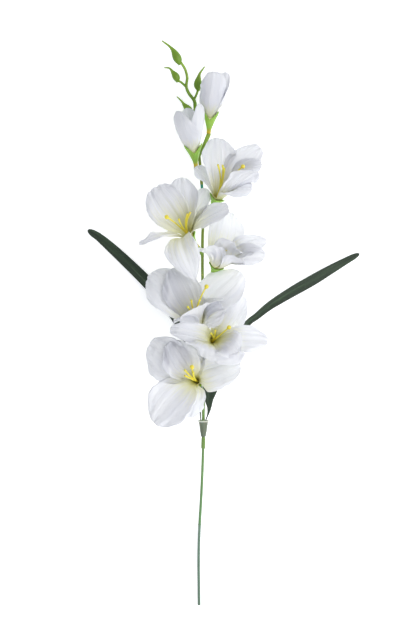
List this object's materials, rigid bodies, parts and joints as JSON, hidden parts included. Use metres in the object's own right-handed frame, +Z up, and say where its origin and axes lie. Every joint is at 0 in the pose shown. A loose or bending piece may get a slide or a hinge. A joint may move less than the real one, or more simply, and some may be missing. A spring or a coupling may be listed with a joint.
{
  "type": "gladiolus flower spike",
  "caption": "Lying cut stem of an artificial gladiolus: a one-sided spike of open ruffled blooms and buds on a long stem with strap leaves",
  "frame": {"origin": "bottom centre of the bounding box, on the surface the stem lies on", "axes": "+Y along the stem from its cut end to the tip buds, +X to the right as seen from above, +Z up, away from the surface and towards the viewer"},
  "size_m": [0.3896, 0.8002, 0.1036],
  "materials": {
    "white_silk": "matt woven polyester petals, white, lightly pleated, with yellow-green throats",
    "stamen_yellow": "moulded bright yellow plastic",
    "green_moulding": "soft bright green moulded plastic, yellower at the node",
    "olive_stem": "moulded olive green plastic",
    "coated_rod": "smooth green plastic coating over wire",
    "steel_wire": "plain drawn steel wire, cut square",
    "leaf_dark": "stiffened dark green cloth with a slight sheen and long veins",
    "collar_grey": "grey-green moulded sleeve",
    "band_pale": "thin off-white ring"
  },
  "bodies": {
    "root": {"bloom_1": "white_silk", "bloom_2": "white_silk", "bloom_3": "white_silk", "bloom_4": "white_silk", "bloom_5": "white_silk", "bloom_6": "white_silk", "bud_1": "white_silk", "bud_2": "white_silk", "bud_calyx_1": "green_moulding", "bud_calyx_2": "green_moulding", "bud_sprig": "green_moulding", "calyx_1": "green_moulding", "calyx_2": "green_moulding", "calyx_3": "green_moulding", "calyx_4": "green_moulding", "calyx_5": "green_moulding", "calyx_6": "green_moulding", "collar_band": "band_pale", "leaf_collar": "collar_grey", "leaf_left": "leaf_dark", "leaf_right": "leaf_dark", "spike_stem": "olive_stem", "stamens_1": "stamen_yellow", "stamens_2": "stamen_yellow", "stamens_3": "stamen_yellow", "stamens_4": "stamen_yellow", "stamens_5": "stamen_yellow", "stamens_6": "stamen_yellow", "stem_rod": "coated_rod", "stem_wire": "steel_wire"}
  },
  "joints": []
}
